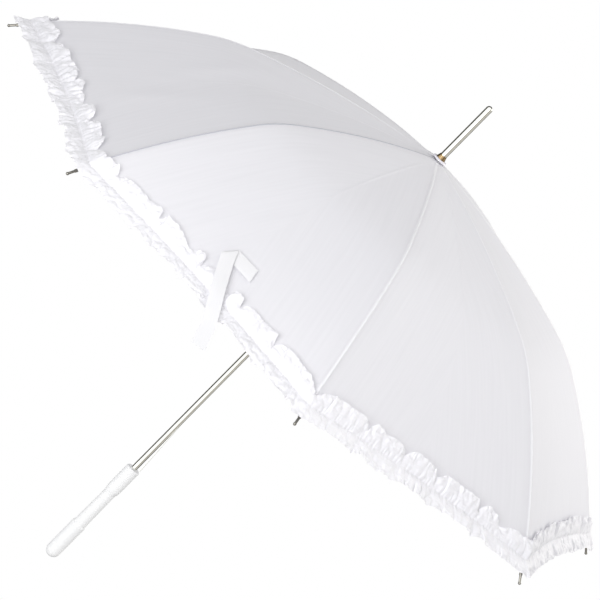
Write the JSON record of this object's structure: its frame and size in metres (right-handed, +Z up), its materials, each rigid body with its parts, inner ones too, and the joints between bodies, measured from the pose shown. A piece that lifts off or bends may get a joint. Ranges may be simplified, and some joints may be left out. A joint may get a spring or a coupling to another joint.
{
  "type": "ruffled parasol",
  "caption": "Open stick parasol with a straight grip, a metal spike, a folding ribbed frame, a plain cloth canopy, a gathered ruffle along the hem and a tie strap.",
  "frame": {"origin": "on the shaft's axis at the foot of the handle", "axes": "+Z up along the shaft from the handle to the spike; rib 1 points along +X and the others follow every 45 degrees"},
  "size_m": [1.0274, 1.0274, 0.834],
  "materials": {
    "cloth": "plain woven, slightly satin",
    "satin": "gathered satin ribbon",
    "steel": "polished nickel-plated steel",
    "painted_steel": "white-painted steel",
    "brass": "dull brass",
    "white_plastic": "moulded white plastic",
    "frosted_plastic": "frosted white plastic"
  },
  "bodies": {
    "column": {"shaft": "steel", "spike": "steel", "spike_collar": "brass", "canopy_washer": "cloth", "top_notch": "white_plastic", "notch_wire": "steel", "stop_pin": "steel", "catch_pins": "steel", "handle_grip": "frosted_plastic", "handle_end": "frosted_plastic"},
    "runner": {"runner": "white_plastic", "runner_wire": "steel"},
    "upper_catch": {"upper_catch": "steel"},
    "lower_catch": {"lower_catch": "steel"},
    "rib_1": {"rib_1": "painted_steel", "rib_tip_1": "steel", "canopy_1": "cloth", "ruffle_1": "satin"},
    "stretcher_1": {"stretcher_1": "painted_steel"},
    "rib_2": {"rib_2": "painted_steel", "rib_tip_2": "steel", "canopy_2": "cloth", "ruffle_2": "satin"},
    "stretcher_2": {"stretcher_2": "painted_steel"},
    "rib_3": {"rib_3": "painted_steel", "rib_tip_3": "steel", "canopy_3": "cloth", "ruffle_3": "satin"},
    "stretcher_3": {"stretcher_3": "painted_steel"},
    "rib_4": {"rib_4": "painted_steel", "rib_tip_4": "steel", "canopy_4": "cloth", "ruffle_4": "satin"},
    "stretcher_4": {"stretcher_4": "painted_steel"},
    "rib_5": {"rib_5": "painted_steel", "rib_tip_5": "steel", "canopy_5": "cloth", "ruffle_5": "satin"},
    "stretcher_5": {"stretcher_5": "painted_steel"},
    "rib_6": {"rib_6": "painted_steel", "rib_tip_6": "steel", "canopy_6": "cloth", "ruffle_6": "satin"},
    "stretcher_6": {"stretcher_6": "painted_steel"},
    "rib_7": {"rib_7": "painted_steel", "rib_tip_7": "steel", "canopy_7": "cloth", "ruffle_7": "satin", "tie_strap": "satin"},
    "stretcher_7": {"stretcher_7": "painted_steel"},
    "rib_8": {"rib_8": "painted_steel", "rib_tip_8": "steel", "canopy_8": "cloth", "ruffle_8": "satin"},
    "stretcher_8": {"stretcher_8": "painted_steel"}
  },
  "joints": [
    {"name": "runner_slide", "type": "slide", "parent": "column", "child": "runner", "axis": [0, 0, -1], "range_m": [0, 0.3469]},
    {"name": "rib_1_fold", "type": "hinge", "parent": "column", "child": "rib_1", "pos_m": [0.009, 0, 0.7324], "axis": [0, 1, 0], "range_deg": [0, 63], "deforming": ["canopy_1", "ruffle_1"]},
    {"name": "stretcher_1_fold", "type": "hinge", "parent": "rib_1", "child": "stretcher_1", "pos_m": [0.25461, 0, 0.67616], "axis": [0, 1, 0], "range_deg": [-118.3, 0]},
    {"name": "rib_2_fold", "type": "hinge", "parent": "column", "child": "rib_2", "pos_m": [0.00636, 0.00636, 0.7324], "axis": [-0.7071, 0.7071, 0], "range_deg": [0, 63], "deforming": ["canopy_2", "ruffle_2"]},
    {"name": "stretcher_2_fold", "type": "hinge", "parent": "rib_2", "child": "stretcher_2", "pos_m": [0.18004, 0.18004, 0.67616], "axis": [-0.7071, 0.7071, 0], "range_deg": [-118.3, 0]},
    {"name": "rib_3_fold", "type": "hinge", "parent": "column", "child": "rib_3", "pos_m": [0, 0.009, 0.7324], "axis": [-1, 0, 0], "range_deg": [0, 63], "deforming": ["canopy_3", "ruffle_3"]},
    {"name": "stretcher_3_fold", "type": "hinge", "parent": "rib_3", "child": "stretcher_3", "pos_m": [0, 0.25461, 0.67616], "axis": [-1, 0, 0], "range_deg": [-118.3, 0]},
    {"name": "rib_4_fold", "type": "hinge", "parent": "column", "child": "rib_4", "pos_m": [-0.00636, 0.00636, 0.7324], "axis": [-0.7071, -0.7071, 0], "range_deg": [0, 63], "deforming": ["canopy_4", "ruffle_4"]},
    {"name": "stretcher_4_fold", "type": "hinge", "parent": "rib_4", "child": "stretcher_4", "pos_m": [-0.18004, 0.18004, 0.67616], "axis": [-0.7071, -0.7071, 0], "range_deg": [-118.3, 0]},
    {"name": "rib_5_fold", "type": "hinge", "parent": "column", "child": "rib_5", "pos_m": [-0.009, 0, 0.7324], "axis": [0, -1, 0], "range_deg": [0, 63], "deforming": ["canopy_5", "ruffle_5"]},
    {"name": "stretcher_5_fold", "type": "hinge", "parent": "rib_5", "child": "stretcher_5", "pos_m": [-0.25461, 0, 0.67616], "axis": [0, -1, 0], "range_deg": [-118.3, 0]},
    {"name": "rib_6_fold", "type": "hinge", "parent": "column", "child": "rib_6", "pos_m": [-0.00636, -0.00636, 0.7324], "axis": [0.7071, -0.7071, 0], "range_deg": [0, 63], "deforming": ["canopy_6", "ruffle_6"]},
    {"name": "stretcher_6_fold", "type": "hinge", "parent": "rib_6", "child": "stretcher_6", "pos_m": [-0.18004, -0.18004, 0.67616], "axis": [0.7071, -0.7071, 0], "range_deg": [-118.3, 0]},
    {"name": "rib_7_fold", "type": "hinge", "parent": "column", "child": "rib_7", "pos_m": [0, -0.009, 0.7324], "axis": [1, 0, 0], "range_deg": [0, 63], "deforming": ["canopy_7", "ruffle_7", "tie_strap"]},
    {"name": "stretcher_7_fold", "type": "hinge", "parent": "rib_7", "child": "stretcher_7", "pos_m": [0, -0.25461, 0.67616], "axis": [1, 0, 0], "range_deg": [-118.3, 0]},
    {"name": "rib_8_fold", "type": "hinge", "parent": "column", "child": "rib_8", "pos_m": [0.00636, -0.00636, 0.7324], "axis": [0.7071, 0.7071, 0], "range_deg": [0, 63], "deforming": ["canopy_8", "ruffle_8"]},
    {"name": "stretcher_8_fold", "type": "hinge", "parent": "rib_8", "child": "stretcher_8", "pos_m": [0.18004, -0.18004, 0.67616], "axis": [0.7071, 0.7071, 0], "range_deg": [-118.3, 0]},
    {"name": "upper_catch_press", "type": "hinge", "parent": "column", "child": "upper_catch", "pos_m": [0.00111, -0.00046, 0.48585], "axis": [-0.3827, -0.9239, 0], "range_deg": [0, 4.6], "stiffness_Nm_per_rad": 0.3},
    {"name": "lower_catch_press", "type": "hinge", "parent": "column", "child": "lower_catch", "pos_m": [0.00111, -0.00046, 0.262], "axis": [0.3827, 0.9239, 0], "range_deg": [0, 2.9], "stiffness_Nm_per_rad": 0.3}
  ],
  "couplings": [
    {"joint": "rib_1_fold", "follows": "runner_slide", "rad_per_m": 3.1697},
    {"joint": "stretcher_1_fold", "follows": "runner_slide", "rad_per_m": -5.9521},
    {"joint": "rib_2_fold", "follows": "runner_slide", "rad_per_m": 3.1697},
    {"joint": "stretcher_2_fold", "follows": "runner_slide", "rad_per_m": -5.9521},
    {"joint": "rib_3_fold", "follows": "runner_slide", "rad_per_m": 3.1697},
    {"joint": "stretcher_3_fold", "follows": "runner_slide", "rad_per_m": -5.9521},
    {"joint": "rib_4_fold", "follows": "runner_slide", "rad_per_m": 3.1697},
    {"joint": "stretcher_4_fold", "follows": "runner_slide", "rad_per_m": -5.9521},
    {"joint": "rib_5_fold", "follows": "runner_slide", "rad_per_m": 3.1697},
    {"joint": "stretcher_5_fold", "follows": "runner_slide", "rad_per_m": -5.9521},
    {"joint": "rib_6_fold", "follows": "runner_slide", "rad_per_m": 3.1697},
    {"joint": "stretcher_6_fold", "follows": "runner_slide", "rad_per_m": -5.9521},
    {"joint": "rib_7_fold", "follows": "runner_slide", "rad_per_m": 3.1697},
    {"joint": "stretcher_7_fold", "follows": "runner_slide", "rad_per_m": -5.9521},
    {"joint": "rib_8_fold", "follows": "runner_slide", "rad_per_m": 3.1697},
    {"joint": "stretcher_8_fold", "follows": "runner_slide", "rad_per_m": -5.9521}
  ]
}
